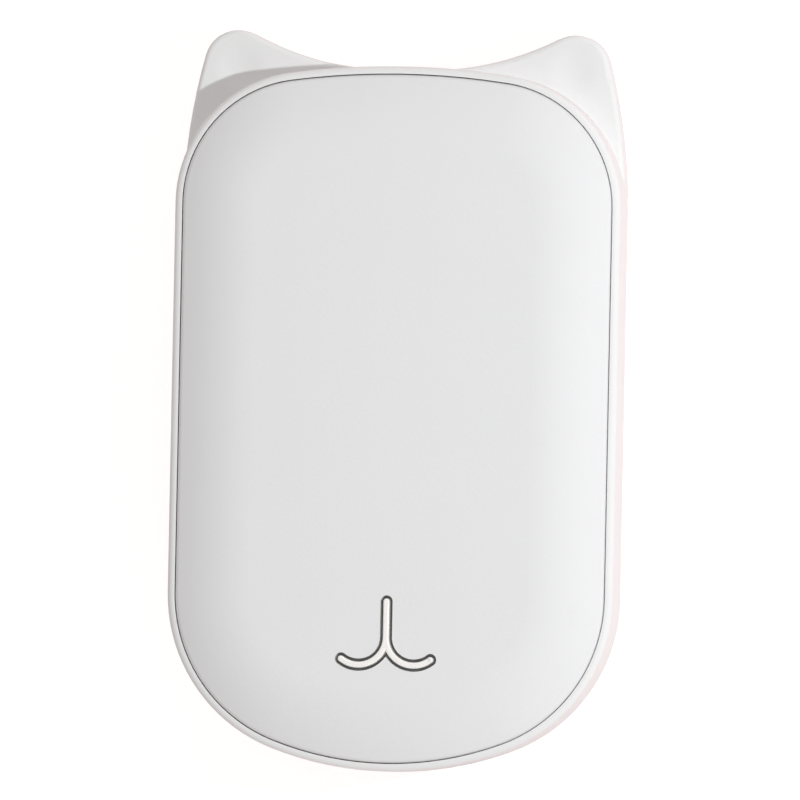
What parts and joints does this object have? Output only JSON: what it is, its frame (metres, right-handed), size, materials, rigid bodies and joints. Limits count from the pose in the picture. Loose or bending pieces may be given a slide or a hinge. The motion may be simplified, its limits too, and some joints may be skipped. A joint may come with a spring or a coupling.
{
  "type": "rechargeable hand warmer",
  "caption": "Pocket rechargeable hand warmer: crowned covers on an eared frame, a mouth-shaped light guide, a charging socket and a push button, over flat cells and heating films.",
  "frame": {"origin": "middle of the flat rear face on which the case rests", "axes": "+X across the case, +Y along it towards the ears, +Z out of the front face"},
  "size_m": [0.0676, 0.1117, 0.0244],
  "materials": {
    "cover_abs": "satin white moulded plastic",
    "frame_abs": "glossy white moulded plastic with a blush of pink",
    "guide_acrylic": "milky clear plastic",
    "button_abs": "glossy moulded plastic",
    "socket_steel": "drawn and plated steel",
    "socket_insulator": "black moulded insulator",
    "contact_gold": "gold plated",
    "board_laminate": "green solder resist",
    "chip_epoxy": "black moulded package",
    "coil_ferrite": "dark grey pressed ferrite",
    "capacitor_ceramic": "fired ceramic",
    "resistor_ceramic": "dark glazed ceramic",
    "led_resin": "cast resin",
    "pouch_foil": "laminated foil",
    "tape_adhesive": "double-sided tape",
    "tab_nickel": "nickel strip",
    "lead_red": "red soft insulation",
    "lead_black": "black soft insulation",
    "lead_white": "white soft insulation",
    "plate_aluminium": "rolled sheet",
    "film_polyimide": "amber film",
    "foam_grey": "closed-cell foam",
    "sensor_epoxy": "dipped resin",
    "screw_steel": "zinc plated"
  },
  "bodies": {
    "case": {"front_shell": "cover_abs", "rear_shell": "cover_abs", "mid_frame": "frame_abs", "mouth_light_guide": "guide_acrylic", "switch_body": "chip_epoxy", "usb_c_shell": "socket_steel", "usb_c_tongue": "socket_insulator", "usb_c_contacts": "contact_gold", "main_board": "board_laminate", "charge_controller": "chip_epoxy", "heater_driver": "chip_epoxy", "power_inductor": "coil_ferrite", "board_capacitors": "capacitor_ceramic", "board_resistors": "resistor_ceramic", "status_led": "led_resin", "shell_screws": "screw_steel", "board_screws": "screw_steel", "front_cell": "pouch_foil", "rear_cell": "pouch_foil", "cell_tape": "tape_adhesive", "cell_tabs": "tab_nickel", "protection_board": "board_laminate", "protection_transistors": "chip_epoxy", "battery_lead_positive": "lead_red", "battery_lead_negative": "lead_black", "front_heat_plate": "plate_aluminium", "rear_heat_plate": "plate_aluminium", "front_heater_film": "film_polyimide", "rear_heater_film": "film_polyimide", "front_foam_pad": "foam_grey", "rear_foam_pad": "foam_grey", "front_heater_leads": "lead_white", "rear_heater_leads": "lead_white", "thermistor": "sensor_epoxy", "thermistor_leads": "lead_black"},
    "button": {"power_button": "button_abs", "switch_plunger": "socket_insulator"}
  },
  "joints": [
    {"name": "button_press", "type": "slide", "parent": "case", "child": "button", "axis": [0, 1, 0], "range_m": [0, 0.0004], "stiffness_N_per_m": 500}
  ]
}
